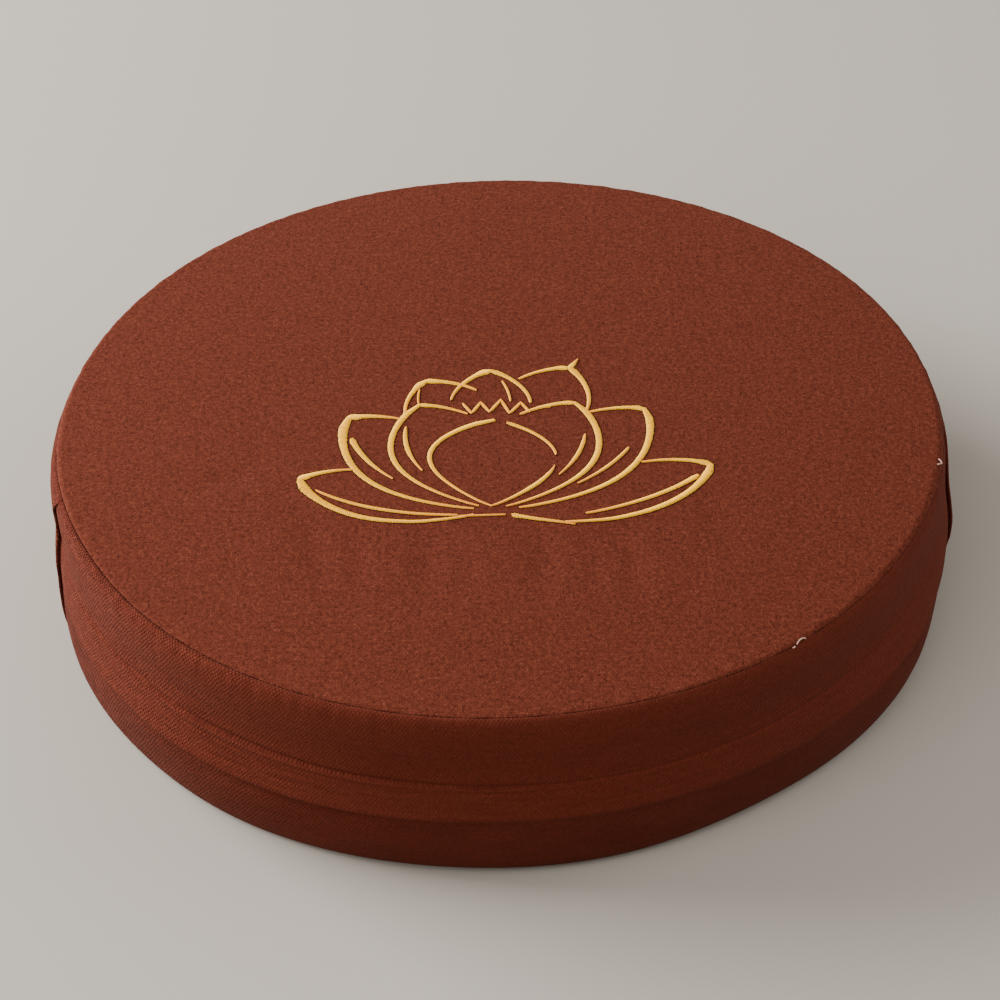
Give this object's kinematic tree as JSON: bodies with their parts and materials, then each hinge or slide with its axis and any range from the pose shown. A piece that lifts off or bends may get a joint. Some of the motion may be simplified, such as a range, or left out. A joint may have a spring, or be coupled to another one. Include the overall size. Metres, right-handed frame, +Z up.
{
  "type": "round meditation cushion",
  "caption": "Round, flat floor cushion with a boxed side band, a soft shoulder and a slightly crowned top panel.",
  "frame": {"origin": "middle of the underside, on the surface that the cushion rests on", "axes": "+Z up through the top panel; -Y towards the front, from where the embroidery is seen upright; +X to its right"},
  "size_m": [0.405, 0.4067, 0.091],
  "materials": {
    "panel_cloth": "matt plain weave with slubs",
    "band_cloth": "matt plain weave with slubs along the band",
    "gold_thread": "glossy satin stitch",
    "seam_thread": "twisted sewing thread"
  },
  "bodies": {
    "root": {"top_panel": "panel_cloth", "filled_body": "band_cloth", "back_band": "band_cloth", "bottom_panel": "panel_cloth"}
  },
  "joints": []
}
